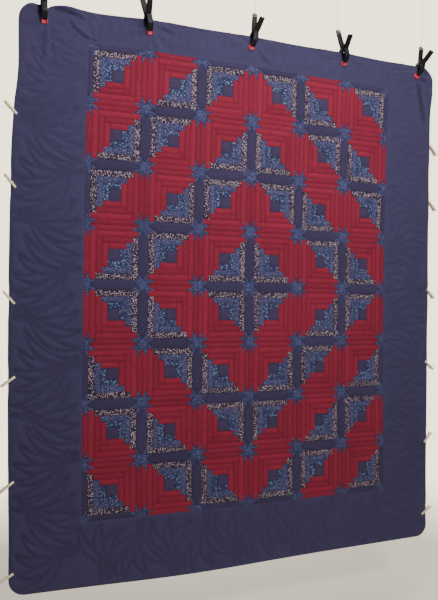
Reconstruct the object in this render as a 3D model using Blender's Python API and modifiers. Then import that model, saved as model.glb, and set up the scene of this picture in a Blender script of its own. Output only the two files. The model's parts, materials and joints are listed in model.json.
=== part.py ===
"""Patchwork quilt hung by five spring clamps on cords, with clothes pegs along its sides.

X runs to the right along the quilt, the patchwork faces -Y and Z is up.  The origin is the top end of
the centre cord, which is where the quilt hangs from.
"""
import math

import bmesh
import bpy
from mathutils import Matrix, Vector

# ---- Driving dimensions (metres, degrees) ----
GAP = 0.0003  # between pieces that touch

QUILT_WIDTH = 2.310
QUILT_HEIGHT = 2.700
CORNER_RADIUS = 0.070
FABRIC = 0.0008  # one layer of stitched fabric
BATTING = 0.0038
BINDING_WIDTH = 0.011
BLOCK_PITCH = 0.282  # a block and one sash; the sashes round the outside are half as wide
BLOCK_COLUMNS = 6
BLOCK_ROWS = 8
PANEL_OFFSET = (0.0125, 0.080)  # the pieced panel's centre from the quilt's centre, across and up
HANG_DROP = 0.430  # from the cords' top ends down to the quilt's top edge

QUILT_SHIFT = 0.001  # the quilt's centre from the centre clamp
END_CLAMP_INSETS = (0.129, 0.119)  # the outer clamps from the quilt's left and right sides
CLAMP_NUDGES = (0.0, -0.024, 0.0, 0.032, 0.0)  # from even spacing between the outer and centre clamps
CLAMP_LEANS = (-3.0, -12.0, 8.0, -9.0, 15.0)  # degrees about Y, towards +X when positive
CLAMP_DROPS = (0.042, 0.012, 0.0, 0.0, 0.0)  # the quilt's top edge hangs this far lower at each clamp
PAD_BELOW_EDGE = 0.048
CLAMP_TILT = 18.0  # the clamp's own axis from the quilt, handles leaning forwards
HANDLE_SPREAD = 38.0  # each handle from the clamp's own axis
FRONT_HANDLE_LENGTH = 0.086
REAR_HANDLE_LENGTH = 0.116
JAW_LENGTH = 0.074
JAW_REACH = 0.015  # from the clamp's axis to the middle of each jaw end
JAW_END_RADIUS = 0.0045
HANDLE_END_RADIUS = 0.0055
LEVER_WIDTH = 0.025
THROAT_REACH = 0.030
LEVER_WAIST = 0.0065  # half the lever's depth beside the pin
EAR_RADIUS = 0.009
EAR_THICKNESS = 0.0028
PIN_RADIUS = 0.0025
PIN_HEAD_RADIUS = 0.0045
PIN_HEAD_THICKNESS = 0.0015
COIL_RADIUS = 0.0075
COIL_TURNS = 4
PAD_WIDTH = 0.038
PAD_HEIGHT = 0.025
CHEEK_THICKNESS = 0.0027
CHEEK_DEPTH = 0.004

CORD_DIAMETER = 0.002
CORD_STRAIGHT = 0.008  # the first stretch, in line with the clamp
CORD_SPANS = 7

PEG_JAW = 0.034
PEG_TAIL = 0.040
PEG_WIDTH = 0.010
PEG_TIP = 0.0035  # wood left at the jaw's tip
PEG_WAIST = 0.0070
PEG_TAIL_END = 0.0045
PEG_TAIL_OPEN = 0.0075  # each leg's inner face from the middle at the tail
PEG_COIL_RADIUS = 0.0042
PEG_EDGE_CLEARANCE = 0.0005
# Each side's pegs are spread evenly between the first and the last, and then moved down by their nudges
PEG_INSETS = {"left": (0.500, 0.110), "right": (0.460, 0.146)}  # below the top edge, above the bottom edge
PEG_NUDGES = {
    "left": (0.0, -0.095, 0.004, -0.044, 0.008, 0.0),
    "right": (0.0, -0.0988, -0.0076, -0.0124, -0.0072, 0.0),
}
# Degrees from level, tail up when positive
PEG_SLOPES = {
    "left": (45.0, 50.0, 48.0, -36.0, -37.0, -29.0),
    "right": (-50.0, -48.0, -46.0, -40.0, 48.0, 33.0),
}

ARC_STEPS = 8

# ---- Derived sizes ----
QUILT_THICKNESS = BATTING + 2 * (FABRIC + GAP)
PANEL_WIDTH = BLOCK_COLUMNS * BLOCK_PITCH
PANEL_HEIGHT = BLOCK_ROWS * BLOCK_PITCH
QUILT_TOP = -HANG_DROP
QUILT_MIDDLE = QUILT_TOP - QUILT_HEIGHT / 2
TILT = math.radians(CLAMP_TILT)
SPREAD = math.radians(HANDLE_SPREAD)
HANDLE_AIM = Vector((-math.sin(SPREAD), math.cos(SPREAD)))
FRONT_HANDLE_END = (FRONT_HANDLE_LENGTH - HANDLE_END_RADIUS) * HANDLE_AIM
REAR_HANDLE_END = (REAR_HANDLE_LENGTH - HANDLE_END_RADIUS) * HANDLE_AIM
JAW_TIP = Vector((-JAW_REACH, -JAW_LENGTH))

# Matrices that lay a drawing plane in space: a drawing's x, y and depth go to these axes
FACING_FRONT = Matrix.Rotation(math.pi / 2, 4, "X")
FACING_SIDE = Matrix(((0, 0, 1, 0), (1, 0, 0, 0), (0, 1, 0, 0), (0, 0, 0, 1)))


def tilted(point):
    """A point (forward is negative, up) of the clamp's own plane, in the upright Y and Z directions."""
    return Vector((
        0.0,
        point[0] * math.cos(TILT) - point[1] * math.sin(TILT),
        point[0] * math.sin(TILT) + point[1] * math.cos(TILT),
    ))


# The pin lies this far from the middle of the pads, and the cord rises from above the rear handle's end
PIN_PLACE = -tilted((0.0, -JAW_LENGTH))
REAR_END = PIN_PLACE + tilted((-REAR_HANDLE_END.x, REAR_HANDLE_END.y))
CORD_START = REAR_END + Vector((0.0, 0.0, HANDLE_END_RADIUS + GAP))
QUILT_DEPTH = -CORD_START.y  # puts the centre cord, and so the origin, at y = 0
# The centre clamp leans, so it stands to one side of its cord's top end at x = 0
CENTRE_CLAMP = -(CORD_START.z + CORD_STRAIGHT) * math.sin(math.radians(CLAMP_LEANS[2]))
QUILT_CENTRE = CENTRE_CLAMP + QUILT_SHIFT
LEFT_CLAMP = QUILT_CENTRE - QUILT_WIDTH / 2 + END_CLAMP_INSETS[0]
RIGHT_CLAMP = QUILT_CENTRE + QUILT_WIDTH / 2 - END_CLAMP_INSETS[1]
EVEN_PLACES = (
    LEFT_CLAMP,
    (LEFT_CLAMP + CENTRE_CLAMP) / 2,
    CENTRE_CLAMP,
    (CENTRE_CLAMP + RIGHT_CLAMP) / 2,
    RIGHT_CLAMP,
)
CLAMP_PLACES = [even + nudge for even, nudge in zip(EVEN_PLACES, CLAMP_NUDGES)]


# ---- Outlines ----
def arc(centre, radius, start, end, steps=ARC_STEPS):
    """Points round an arc from one angle to another, in degrees, both ends included."""
    points = []
    for k in range(steps + 1):
        angle = math.radians(start + (end - start) * k / steps)
        points.append((centre[0] + radius * math.cos(angle), centre[1] + radius * math.sin(angle)))
    return points


def rounded_rectangle(width, height, radius, centre=(0.0, 0.0)):
    """A rectangle's outline, square-cornered when the radius is nought."""
    across, up = width / 2 - radius, height / 2 - radius
    outline = []
    for quarter, (side_x, side_y) in enumerate(((1, 1), (-1, 1), (-1, -1), (1, -1))):
        middle = (centre[0] + side_x * across, centre[1] + side_y * up)
        if radius:
            outline += arc(middle, radius, 90 * quarter, 90 * (quarter + 1))
        else:
            outline.append(middle)
    return outline


def smooth_route(stations, samples=6):
    """A Catmull-Rom curve through stations of any dimension."""
    route = [Vector(s) for s in stations]
    padded = [2 * route[0] - route[1]] + route + [2 * route[-1] - route[-2]]
    points = []
    for a, b, c, d in zip(padded, padded[1:], padded[2:], padded[3:]):
        for k in range(samples):
            t = k / samples
            points.append(0.5 * (
                2 * b + (c - a) * t + (2 * a - 5 * b + 4 * c - d) * t**2 + (3 * b - a - 3 * c + d) * t**3
            ))
    points.append(route[-1])
    return points


def ribbon(stations):
    """The outline of a bar along stations (x, y, half its depth), with round ends."""
    route = smooth_route(stations)
    left, right = [], []
    for k, point in enumerate(route):
        ahead = route[min(k + 1, len(route) - 1)] - route[max(k - 1, 0)]
        along = Vector((ahead[0], ahead[1])).normalized()
        across = Vector((-along.y, along.x)) * point[2]
        middle = Vector((point[0], point[1]))
        left.append(tuple(middle + across))
        right.append(tuple(middle - across))
    outline = list(right)
    outline += round_end(route[-1], route[-2])
    outline += reversed(left)
    outline += round_end(route[0], route[1])
    return outline


def round_end(end, inner):
    """The points between the corners of a round end that faces away from inner, anticlockwise."""
    facing = math.degrees(math.atan2(end[1] - inner[1], end[0] - inner[0]))
    return arc(end, end[2], facing - 90, facing + 90)[1:-1]


# ---- Making objects ----
def clear_scene():
    for old in list(bpy.data.objects):
        bpy.data.objects.remove(old, do_unlink=True)


def new_collection(name):
    collection = bpy.data.collections.new(name)
    bpy.context.scene.collection.children.link(collection)
    return collection


def finish(name, colour, roughness, metallic=0.0):
    material = bpy.data.materials.new(name)
    material.use_nodes = True
    shader = material.node_tree.nodes["Principled BSDF"]
    shader.inputs["Base Color"].default_value = (*colour, 1.0)
    shader.inputs["Roughness"].default_value = roughness
    shader.inputs["Metallic"].default_value = metallic
    return material


def as_mesh(scratch, name):
    """The evaluated scratch object as a mesh of its own; the object is removed."""
    bpy.context.view_layer.update()
    evaluated = scratch.evaluated_get(bpy.context.evaluated_depsgraph_get())
    mesh = bpy.data.meshes.new_from_object(evaluated)
    mesh.name = name
    bpy.data.objects.remove(scratch, do_unlink=True)
    body = bmesh.new()
    body.from_mesh(mesh)
    bmesh.ops.remove_doubles(body, verts=body.verts, dist=0.000005)
    body.to_mesh(mesh)
    body.free()
    return mesh


def slab(name, outlines, depth_from, depth_to, facing):
    """A mesh of flat outlines, the second and later ones holes, filled from one depth to the other."""
    drawing = bpy.data.curves.new(name, "CURVE")
    drawing.dimensions = "2D"
    drawing.fill_mode = "BOTH"
    drawing.extrude = (depth_to - depth_from) / 2
    for outline in outlines:
        spline = drawing.splines.new("POLY")
        spline.points.add(len(outline) - 1)
        for point, (x, y) in zip(spline.points, outline):
            point.co = (x, y, 0.0, 1.0)
        spline.use_cyclic_u = True
    scratch = bpy.data.objects.new(name, drawing)
    bpy.context.scene.collection.objects.link(scratch)
    mesh = as_mesh(scratch, name)
    mesh.transform(facing @ Matrix.Translation((0.0, 0.0, (depth_from + depth_to) / 2)))
    return mesh


def turned(name, profile, steps=16):
    """A mesh turned about X from a profile of (along X, radius) points that starts and ends on the axis."""
    mesh = bpy.data.meshes.new(name)
    edges = [(k, k + 1) for k in range(len(profile) - 1)]
    mesh.from_pydata([(radius, 0.0, -along) for along, radius in profile], edges, [])
    scratch = bpy.data.objects.new(name, mesh)
    bpy.context.scene.collection.objects.link(scratch)
    screw = scratch.modifiers.new("Turn", "SCREW")
    screw.steps = steps
    screw.render_steps = steps
    screw.use_merge_vertices = True
    screw.merge_threshold = 0.0001
    solid = as_mesh(scratch, name)
    solid.transform(Matrix.Rotation(-math.pi / 2, 4, "Y"))
    solid.shade_smooth()
    return solid


def combined(name, base, joined, cutters):
    """The mesh of base with the joined meshes added and then the cutters taken away."""
    scratch = bpy.data.objects.new(name, base)
    bpy.context.scene.collection.objects.link(scratch)
    helpers = []
    for operation, meshes in (("UNION", joined), ("DIFFERENCE", cutters)):
        for mesh in meshes:
            helper = bpy.data.objects.new(mesh.name, mesh)
            bpy.context.scene.collection.objects.link(helper)
            step = scratch.modifiers.new(operation.title(), "BOOLEAN")
            step.operation = operation
            step.solver = "EXACT"
            step.object = helper
            helpers.append(helper)
    mesh = as_mesh(scratch, name)
    for helper in helpers:
        bpy.data.objects.remove(helper, do_unlink=True)
    return mesh


def place(collection, name, mesh, material, matrix, parent=None):
    """One named part; its matrix is in the world, or in its parent's frame where it has one."""
    part = bpy.data.objects.new(name, mesh)
    if not mesh.materials:
        mesh.materials.append(material)
    part.parent = parent
    part.matrix_basis = matrix
    collection.objects.link(part)
    return part


# ---- Quilt ----
def edge_drop(across):
    """How far the top edge hangs below its level, at a place across from the quilt's centre."""
    at = across + QUILT_CENTRE
    stations = list(zip(CLAMP_PLACES, CLAMP_DROPS))
    if at <= stations[0][0]:
        return stations[0][1]
    for (start, drop), (end, next_drop) in zip(stations, stations[1:]):
        if at <= end:
            return drop + (next_drop - drop) * (at - start) / (end - start)
    return stations[-1][1]


def hung(outline):
    """A quilt outline, anticlockwise, with its top edge let down to the clamps' heights."""
    top = QUILT_HEIGHT / 2 - CORNER_RADIUS - GAP
    points = []
    for point, following in zip(outline, outline[1:] + outline[:1]):
        points.append(point)
        if point[1] > top and point[0] - following[0] > CORNER_RADIUS:
            points += [(place_at - QUILT_CENTRE, point[1]) for place_at in reversed(CLAMP_PLACES)]
    return [(x, y - edge_drop(x)) if y > top else (x, y) for x, y in points]


def add_quilt(collection, finishes):
    half = QUILT_THICKNESS / 2
    inside = (QUILT_WIDTH - 2 * (BINDING_WIDTH + GAP), QUILT_HEIGHT - 2 * (BINDING_WIDTH + GAP))
    inside_radius = CORNER_RADIUS - BINDING_WIDTH - GAP
    edge = hung(rounded_rectangle(QUILT_WIDTH, QUILT_HEIGHT, CORNER_RADIUS))
    binding_inner = hung(rounded_rectangle(
        QUILT_WIDTH - 2 * BINDING_WIDTH, QUILT_HEIGHT - 2 * BINDING_WIDTH, CORNER_RADIUS - BINDING_WIDTH
    ))
    layer = hung(rounded_rectangle(*inside, inside_radius))
    panel = rounded_rectangle(PANEL_WIDTH, PANEL_HEIGHT, 0.0, PANEL_OFFSET)
    opening = rounded_rectangle(PANEL_WIDTH + 2 * GAP, PANEL_HEIGHT + 2 * GAP, 0.0, PANEL_OFFSET)
    where = Matrix.Translation((QUILT_CENTRE, QUILT_DEPTH, QUILT_MIDDLE))
    # Depth grows towards the front, so the top layers have the largest
    pieces = (
        ("quilt_binding", (edge, binding_inner), -half, half, "navy"),
        ("quilt_backing", (layer,), -half, -half + FABRIC, "navy"),
        ("quilt_batting", (layer,), -BATTING / 2, BATTING / 2, "batting"),
        ("quilt_border", (layer, opening), half - FABRIC, half, "navy"),
        ("quilt_pieced_top", (panel,), half - FABRIC, half, "patchwork"),
    )
    for name, outlines, back, front, look in pieces:
        mesh = slab(name, outlines, back, front, FACING_FRONT)
        place(collection, name, mesh, finishes[look], where)


# ---- Spring clamps ----
def lever_mesh(side, ear_inner):
    """One lever about the pin. side is -1 for the front lever and 1 for the rear one."""
    beside_pin = EAR_RADIUS + 2 * GAP + LEVER_WAIST
    handle_end = FRONT_HANDLE_END if side < 0 else REAR_HANDLE_END
    stations = (
        (JAW_TIP.x, JAW_TIP.y, JAW_END_RADIUS),
        (-0.73 * THROAT_REACH, 0.81 * JAW_TIP.y, 0.0050),
        (-THROAT_REACH, 0.46 * JAW_TIP.y, 0.0060),
        (-0.80 * THROAT_REACH, 0.20 * JAW_TIP.y, 0.0062),
        (-beside_pin, 0.002, LEVER_WAIST),
        (-beside_pin + 0.45 * (handle_end.x + beside_pin), 0.002 + 0.42 * handle_end.y, 0.0060),
        (handle_end.x, handle_end.y, HANDLE_END_RADIUS),
    )
    body = [(-side * x, y) for x, y in ribbon(stations)]
    ear = [(-side * x, y) for x, y in ribbon(((-beside_pin, 0.001, 0.0060), (0.0, 0.0, EAR_RADIUS)))]
    name = "front_lever" if side < 0 else "rear_lever"
    base = slab(name, (body,), -LEVER_WIDTH / 2, LEVER_WIDTH / 2, FACING_SIDE)
    ear_outer = ear_inner + EAR_THICKNESS
    ears = [
        slab("ear_right", (ear,), ear_inner, ear_outer, FACING_SIDE),
        slab("ear_left", (ear,), -ear_outer, -ear_inner, FACING_SIDE),
    ]
    hole_radius = PIN_RADIUS + GAP
    hole = turned("pin_hole", (
        (-LEVER_WIDTH, 0.0),
        (-LEVER_WIDTH, hole_radius),
        (LEVER_WIDTH, hole_radius),
        (LEVER_WIDTH, 0.0),
    ))
    return combined(name, base, ears, [hole])


def pin_mesh(coil_half, head_from):
    """The riveted pin with the turns of the spring round its middle."""
    profile = [
        (-head_from - PIN_HEAD_THICKNESS, 0.0),
        (-head_from - PIN_HEAD_THICKNESS, PIN_HEAD_RADIUS),
        (-head_from, PIN_HEAD_RADIUS),
        (-head_from, PIN_RADIUS),
    ]
    wire = 2 * coil_half / COIL_TURNS
    for turn in range(COIL_TURNS):
        start = -coil_half + turn * wire
        profile.append((start, PIN_RADIUS if turn == 0 else COIL_RADIUS - wire / 4))
        profile.append((start + wire * 0.25, COIL_RADIUS))
        profile.append((start + wire * 0.75, COIL_RADIUS))
    profile.append((coil_half, PIN_RADIUS))
    profile += [(-along, radius) for along, radius in reversed(profile[:4])]
    return turned("pin_and_spring", profile)


def pad_mesh(side):
    """A swivelling pad about the jaw end's middle. side is -1 for the front pad and 1 for the rear one."""
    to_quilt = JAW_REACH * math.cos(TILT) - QUILT_THICKNESS / 2 - GAP
    back = JAW_END_RADIUS + GAP
    cheek_inner = LEVER_WIDTH / 2 + GAP
    cheek_outer = cheek_inner + CHEEK_THICKNESS
    half = (
        (PAD_WIDTH / 2, to_quilt),
        (PAD_WIDTH / 2, back),
        (cheek_outer, back),
        (cheek_outer, -CHEEK_DEPTH),
        (cheek_inner, -CHEEK_DEPTH),
        (cheek_inner, back),
    )
    outline = [(x, -side * y) for x, y in half]
    outline += [(-x, -side * y) for x, y in reversed(half)]
    name = "front_pad" if side < 0 else "rear_pad"
    return slab(name, (outline,), -PAD_HEIGHT / 2, PAD_HEIGHT / 2, Matrix.Identity(4))


def clamp_places():
    """The middle of each clamp's pads and the clamp's lean in radians."""
    for across, lean, drop in zip(CLAMP_PLACES, CLAMP_LEANS, CLAMP_DROPS):
        height = QUILT_TOP - drop - PAD_BELOW_EDGE
        yield Vector((across, QUILT_DEPTH, height)), math.radians(lean)


def add_clamps(collection, finishes):
    ear_front = LEVER_WIDTH / 2 - 2 * EAR_THICKNESS - GAP
    ear_rear = LEVER_WIDTH / 2 - EAR_THICKNESS
    meshes = {
        "rear_lever": lever_mesh(1, ear_rear),
        "front_lever": lever_mesh(-1, ear_front),
        "pin": pin_mesh(ear_front - GAP, LEVER_WIDTH / 2 + GAP),
        "rear_pad": pad_mesh(1),
        "front_pad": pad_mesh(-1),
    }
    lean_back = Matrix.Rotation(TILT, 4, "X")
    for number, (where, lean) in enumerate(clamp_places(), start=1):
        name = f"clamp_{number}"
        base = bpy.data.objects.new(f"{name}_frame", None)
        base.location = where
        base.rotation_euler = (0.0, lean, 0.0)
        collection.objects.link(base)
        pin = Matrix.Translation(PIN_PLACE)
        front_jaw = Matrix.Translation(PIN_PLACE + tilted(JAW_TIP))
        rear_jaw = Matrix.Translation(PIN_PLACE + tilted((-JAW_TIP.x, JAW_TIP.y)))
        tipped = pin @ lean_back
        place(collection, f"{name}_rear_lever", meshes["rear_lever"], finishes["nylon"], tipped, base)
        place(collection, f"{name}_front_lever", meshes["front_lever"], finishes["nylon"], tipped, base)
        place(collection, f"{name}_pin_and_spring", meshes["pin"], finishes["steel"], tipped, base)
        place(collection, f"{name}_rear_pad", meshes["rear_pad"], finishes["rubber"], rear_jaw, base)
        place(collection, f"{name}_front_pad", meshes["front_pad"], finishes["rubber"], front_jaw, base)


def add_cords(collection, finishes):
    """A straight cord from above each rear handle up to the height of the hooks."""
    for number, (where, lean) in enumerate(clamp_places(), start=1):
        turn = Matrix.Rotation(lean, 3, "Y")
        foot = where + turn @ CORD_START
        knee = foot + turn @ Vector((0.0, 0.0, CORD_STRAIGHT))
        top = Vector((knee.x, knee.y, 0.0))
        route = [foot] + [knee.lerp(top, k / CORD_SPANS) for k in range(CORD_SPANS + 1)]
        drawing = bpy.data.curves.new(f"hanging_cord_{number}", "CURVE")
        drawing.dimensions = "3D"
        drawing.bevel_depth = CORD_DIAMETER / 2
        drawing.bevel_resolution = 2
        drawing.use_fill_caps = True
        spline = drawing.splines.new("POLY")
        spline.points.add(len(route) - 1)
        for point, place_at in zip(spline.points, route):
            point.co = (*place_at, 1.0)
        drawing.materials.append(finishes["cord"])
        collection.objects.link(bpy.data.objects.new(f"hanging_cord_{number}", drawing))


# ---- Clothes pegs ----
def peg_leg_mesh(side):
    """A leg about the coil's axis; x runs from jaw to tail. side is -1 for the front leg, 1 for the rear."""
    inner = QUILT_THICKNESS / 2 + GAP
    if side < 0:
        # The front leg is hollowed to turn about the coil
        radius = PEG_COIL_RADIUS + GAP
        reach = math.degrees(math.acos(inner / radius))
        round_coil = arc((0.0, 0.0), radius, 90 + reach, 90 - reach)
    else:
        # The rear leg carries the coil as a round boss
        reach = math.degrees(math.acos(inner / PEG_COIL_RADIUS))
        round_coil = arc((0.0, 0.0), PEG_COIL_RADIUS, 90 + reach, 450 - reach, 2 * ARC_STEPS)
    outline = [(-PEG_JAW, inner)] + round_coil
    outline += [
        (0.3 * PEG_TAIL, inner + 0.0004),
        (PEG_TAIL, PEG_TAIL_OPEN),
        (PEG_TAIL, PEG_TAIL_OPEN + PEG_TAIL_END),
        (0.0, inner + PEG_WAIST),
        (-0.45 * PEG_JAW, inner + 0.9 * PEG_WAIST),
        (-PEG_JAW, inner + PEG_TIP),
    ]
    flat = [(x, side * y) for x, y in outline]
    name = "peg_front_leg" if side < 0 else "peg_rear_leg"
    return slab(name, (flat,), -PEG_WIDTH / 2, PEG_WIDTH / 2, Matrix.Identity(4))


def peg_frame(side, drop, slope):
    """The peg's place: its x from jaw to tail, its y to the back and its z along the coil."""
    outwards = -1.0 if side == "left" else 1.0
    angle = math.radians(slope)
    along = Vector((outwards * math.cos(angle), 0.0, math.sin(angle)))
    back = Vector((0.0, 1.0, 0.0))
    coil = along.cross(back)
    stand_off = PEG_COIL_RADIUS * math.cos(angle) + PEG_WIDTH / 2 * abs(math.sin(angle))
    stand_off += PEG_EDGE_CLEARANCE
    across = QUILT_CENTRE + outwards * (QUILT_WIDTH / 2 + stand_off)
    origin = Vector((across, QUILT_DEPTH, QUILT_TOP - drop))
    frame = Matrix((along, back, coil)).transposed().to_4x4()
    frame.translation = origin
    return frame


def peg_places():
    """Each peg's name, side, drop below the quilt's top edge and slope."""
    for side, (from_top, from_bottom) in PEG_INSETS.items():
        nudges = PEG_NUDGES[side]
        step = (QUILT_HEIGHT - from_top - from_bottom) / (len(nudges) - 1)
        for k, (nudge, slope) in enumerate(zip(nudges, PEG_SLOPES[side])):
            yield f"peg_{side}_{k + 1}", side, from_top + k * step + nudge, slope


def add_pegs(collection, finishes):
    front, rear = peg_leg_mesh(-1), peg_leg_mesh(1)
    for name, side, drop, slope in peg_places():
        frame = peg_frame(side, drop, slope)
        place(collection, f"{name}_front_leg", front, finishes["wood"], frame)
        place(collection, f"{name}_rear_leg", rear, finishes["wood"], frame)


def build():
    clear_scene()
    collection = new_collection("hung_patchwork_quilt")
    finishes = {
        "navy": finish("navy_cotton", (0.030, 0.028, 0.075), 0.85),
        "patchwork": finish("patchwork_cotton", (0.150, 0.035, 0.070), 0.85),
        "batting": finish("cotton_batting", (0.800, 0.780, 0.720), 0.95),
        "nylon": finish("black_nylon", (0.018, 0.018, 0.020), 0.45),
        "rubber": finish("red_rubber", (0.550, 0.040, 0.050), 0.55),
        "steel": finish("zinc_steel", (0.550, 0.550, 0.560), 0.35, 1.0),
        "cord": finish("white_cotton_cord", (0.780, 0.760, 0.700), 0.90),
        "wood": finish("pine_wood", (0.520, 0.350, 0.190), 0.60),
    }
    add_quilt(collection, finishes)
    add_clamps(collection, finishes)
    add_cords(collection, finishes)
    add_pegs(collection, finishes)


build()
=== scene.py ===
"""The hung patchwork quilt's finished look: cloth, clamps, cords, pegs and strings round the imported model."""
import json
import math

import bpy
import bmesh
import numpy as np
from mathutils import Matrix, Vector, kdtree


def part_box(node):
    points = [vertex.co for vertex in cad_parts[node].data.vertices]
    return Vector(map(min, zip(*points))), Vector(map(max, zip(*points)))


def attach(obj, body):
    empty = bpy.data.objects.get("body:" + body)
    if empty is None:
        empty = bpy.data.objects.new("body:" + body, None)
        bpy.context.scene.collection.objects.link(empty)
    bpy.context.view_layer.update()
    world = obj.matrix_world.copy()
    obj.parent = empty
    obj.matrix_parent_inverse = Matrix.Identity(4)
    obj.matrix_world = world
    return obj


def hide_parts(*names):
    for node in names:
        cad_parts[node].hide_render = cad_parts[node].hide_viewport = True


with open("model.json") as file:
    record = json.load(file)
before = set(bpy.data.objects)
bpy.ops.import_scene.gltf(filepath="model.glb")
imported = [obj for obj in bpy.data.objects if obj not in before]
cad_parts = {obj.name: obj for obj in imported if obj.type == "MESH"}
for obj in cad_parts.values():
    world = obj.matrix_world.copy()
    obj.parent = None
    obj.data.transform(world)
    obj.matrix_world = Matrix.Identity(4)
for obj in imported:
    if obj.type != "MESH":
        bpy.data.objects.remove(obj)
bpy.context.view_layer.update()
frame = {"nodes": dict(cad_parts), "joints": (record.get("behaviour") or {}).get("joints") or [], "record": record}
collection = bpy.context.scene.collection

# ---- Places taken from the frame ----
PANEL_LOW, PANEL_HIGH = (Vector(c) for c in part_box("quilt_pieced_top"))
EDGE_LOW, EDGE_HIGH = (Vector(c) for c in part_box("quilt_binding"))
PANEL_MIDDLE = (PANEL_LOW + PANEL_HIGH) / 2
MIDDLE_Y = (EDGE_LOW.y + EDGE_HIGH.y) / 2
HALF_THICKNESS = (EDGE_HIGH.y - EDGE_LOW.y) / 2
QUILT_WIDTH = EDGE_HIGH.x - EDGE_LOW.x
QUILT_HEIGHT = EDGE_HIGH.z - EDGE_LOW.z
JOINTS = {joint["name"]: joint for joint in frame["joints"]}

# ---- The patchwork's own sizes ----
BLOCK_COLUMNS, BLOCK_ROWS = 6, 8
PITCH = (PANEL_HIGH.x - PANEL_LOW.x) / BLOCK_COLUMNS
SASH = 0.052
BLOCK = PITCH - SASH
LOGS_ACROSS = 8  # three logs, a centre two logs wide and three logs
LOG_CELLS = 4
SASH_CELLS = 5  # across half a sash, and along a star's point
BINDING = 0.011
CORNER_RADIUS = 0.070
BORDER_CELL = 0.0068
PUFF = 0.0034  # how far the batting pushes the cloth out between seams
PUFF_REACH = 0.0060
BORDER_PUFF = 0.0062
BORDER_PUFF_REACH = 0.0085
SEAM_DEPTH = 0.0010  # the cloth's surface in a seam, from the quilt's middle
FOLD_SHADE = 0.34  # how dark the painted shade makes the cloth down in the deepest fold; a seam is half as much darker
BORDER_LINE = 0.0035  # half the width of a quilting line's flat bottom

FLOOR_RADIUS = 3.6
CAMERA_FROM_MIDDLE = Vector((-1.374, -2.966, -0.027))  # from the patchwork's middle

random_numbers = np.random.default_rng(7)


# ---- Small helpers ----
def linked(name, data):
    """A new object, put in the scene."""
    thing = bpy.data.objects.new(name, data)
    collection.objects.link(thing)
    return thing


def store(mesh, name, domain, values):
    """Keeps one number for each face or point of a mesh."""
    mesh.attributes.new(name, "FLOAT", domain).data.foreach_set("value", np.array(values, np.float32))


def round_edges(piece, width, segments):
    rounding = piece.modifiers.new("rounding", "BEVEL")
    rounding.width = width
    rounding.segments = segments
    rounding.limit_method = "ANGLE"
    rounding.angle_limit = math.radians(40.0)


def placed(x_axis, y_axis, z_axis, origin):
    """The matrix of a frame with these axes."""
    place = Matrix((x_axis, y_axis, z_axis)).transposed().to_4x4()
    place.translation = origin
    return place


def turns(count):
    """Evenly spaced angles once round."""
    return [2 * math.pi * k / count for k in range(count)]


def ramp(value):
    """A value held between nought and one."""
    return np.clip(value, 0, 1)


# ---- Materials ----
class Nodes:
    """Short ways to add and join the nodes of one material."""

    def __init__(self, name):
        self.material = bpy.data.materials.new(name)
        self.material.use_nodes = True
        self.tree = self.material.node_tree
        self.shader = self.tree.nodes["Principled BSDF"]
        self.place = self.add("ShaderNodeTexCoord").outputs["Object"]

    def add(self, kind, **settings):
        node = self.tree.nodes.new(kind)
        for key, value in settings.items():
            setattr(node, key, value)
        return node

    def feed(self, socket, value):
        if isinstance(value, bpy.types.NodeSocket):
            self.tree.links.new(value, socket)
        elif value is not None:
            socket.default_value = value

    def math(self, operation, a, b=None, clamp=False):
        node = self.add("ShaderNodeMath", operation=operation, use_clamp=clamp)
        self.feed(node.inputs[0], a)
        self.feed(node.inputs[1], b)
        return node.outputs[0]

    def ranged(self, value, low, high, to_low=0.0, to_high=1.0):
        node = self.add("ShaderNodeMapRange")
        self.feed(node.inputs["Value"], value)
        for key, number in (("From Min", low), ("From Max", high), ("To Min", to_low), ("To Max", to_high)):
            node.inputs[key].default_value = number
        return node.outputs[0]

    def mix(self, share, a, b, blend="MIX"):
        node = self.add("ShaderNodeMix", data_type="RGBA", blend_type=blend)
        self.feed(node.inputs[0], share)
        self.feed(node.inputs[6], (*a, 1.0) if isinstance(a, tuple) else a)
        self.feed(node.inputs[7], (*b, 1.0) if isinstance(b, tuple) else b)
        return node.outputs[2]

    def noise(self, scale, detail=2.0, stretch=None, roughness=0.5):
        node = self.add("ShaderNodeTexNoise")
        node.inputs["Scale"].default_value = scale
        node.inputs["Detail"].default_value = detail
        node.inputs["Roughness"].default_value = roughness
        self.feed(node.inputs["Vector"], self.stretched(stretch) if stretch else self.place)
        return node.outputs["Fac"]

    def cells(self, scale, feature="F1", output="Distance"):
        node = self.add("ShaderNodeTexVoronoi", feature=feature)
        node.inputs["Scale"].default_value = scale
        self.feed(node.inputs["Vector"], self.place)
        return node.outputs[output]

    def stretched(self, scale, turn=(0.0, 0.0, 0.0)):
        node = self.add("ShaderNodeMapping")
        self.feed(node.inputs["Vector"], self.place)
        node.inputs["Scale"].default_value = scale
        node.inputs["Rotation"].default_value = turn
        return node.outputs[0]

    def attribute(self, name):
        return self.add("ShaderNodeAttribute", attribute_name=name).outputs["Fac"]

    def bump(self, height, strength, distance):
        node = self.add("ShaderNodeBump")
        node.inputs["Strength"].default_value = strength
        node.inputs["Distance"].default_value = distance
        self.feed(node.inputs["Height"], height)
        self.feed(self.shader.inputs["Normal"], node.outputs[0])

    def finish(self, colour, roughness, metallic=0.0, sheen=0.0, coat=0.0, specular=0.5):
        self.feed(self.shader.inputs["Base Color"], (*colour, 1.0) if isinstance(colour, tuple) else colour)
        self.feed(self.shader.inputs["Roughness"], roughness)
        self.shader.inputs["Metallic"].default_value = metallic
        self.shader.inputs["Sheen Weight"].default_value = sheen
        self.shader.inputs["Sheen Roughness"].default_value = 0.6
        self.shader.inputs["Coat Weight"].default_value = coat
        self.shader.inputs["Specular IOR Level"].default_value = specular
        return self.material


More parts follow.
